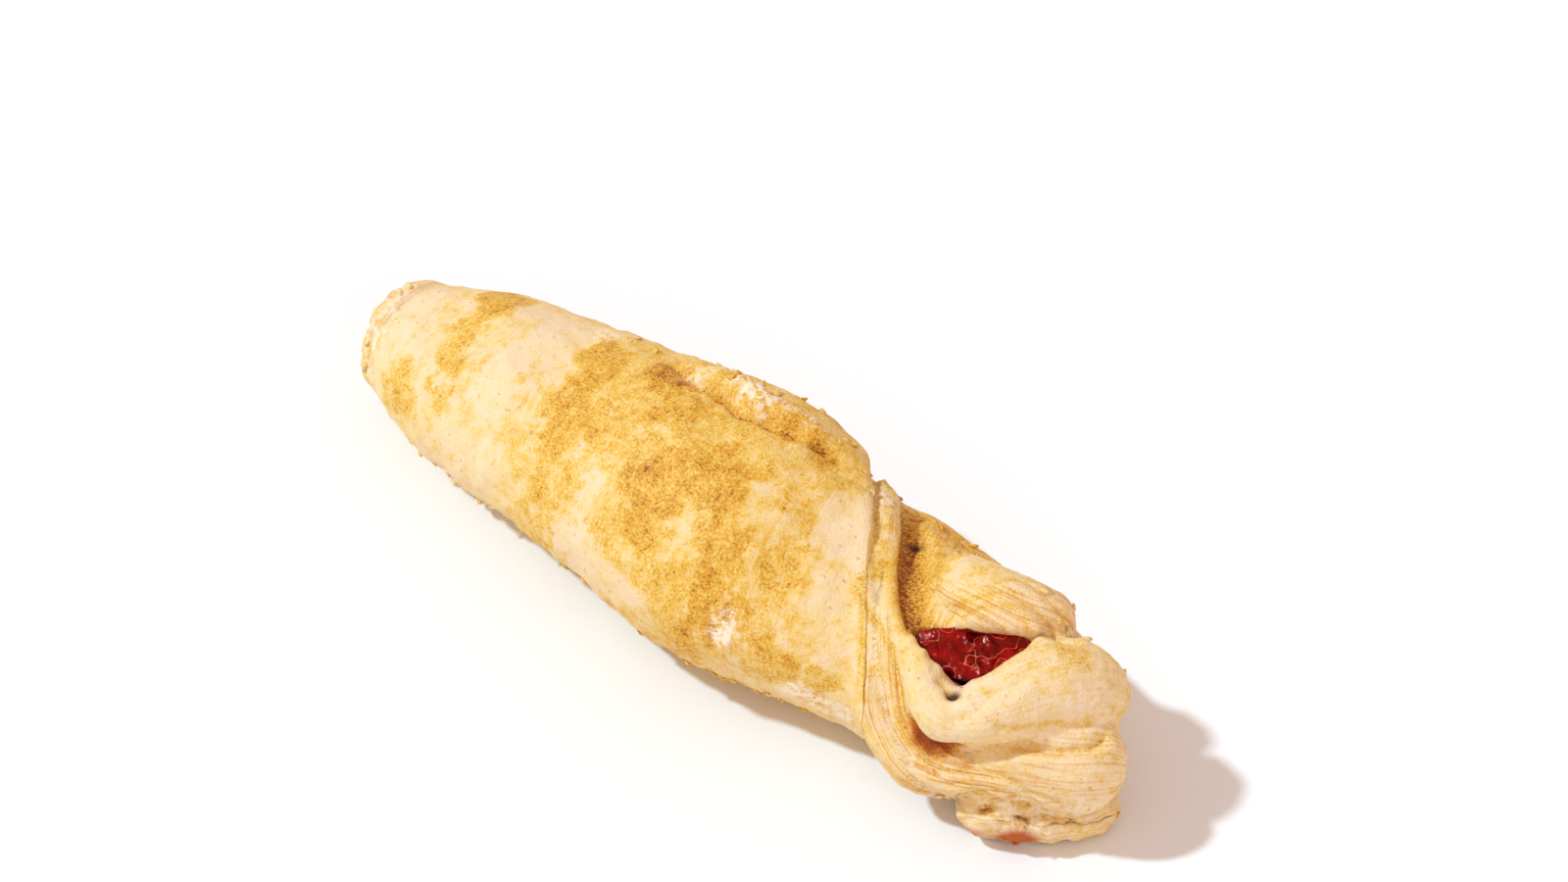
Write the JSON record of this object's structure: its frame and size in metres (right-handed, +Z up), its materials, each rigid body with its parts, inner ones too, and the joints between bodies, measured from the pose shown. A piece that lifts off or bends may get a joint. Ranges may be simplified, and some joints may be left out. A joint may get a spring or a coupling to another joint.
{
  "type": "filled puff pastry roll",
  "caption": "Long baked puff pastry roll with a blunt tail and a twisted, folded end whose layers part in a mouth that shows red guava filling",
  "frame": {"origin": "middle of the pastry's bounding box in plan, on the flat base", "axes": "+X along the pastry from the closed tail to the twisted end, +Z up, +Y across, to the pastry's left when looking from the tail to the twisted end"},
  "size_m": [0.155, 0.0474, 0.0359],
  "materials": {
    "baked_crust": "dry baked flaky dough, pale cream with golden brown patches",
    "guava_paste": "wet glossy dark red fruit paste"
  },
  "bodies": {
    "root": {"pastry_roll": "baked_crust", "guava_filling": "guava_paste"}
  },
  "joints": []
}
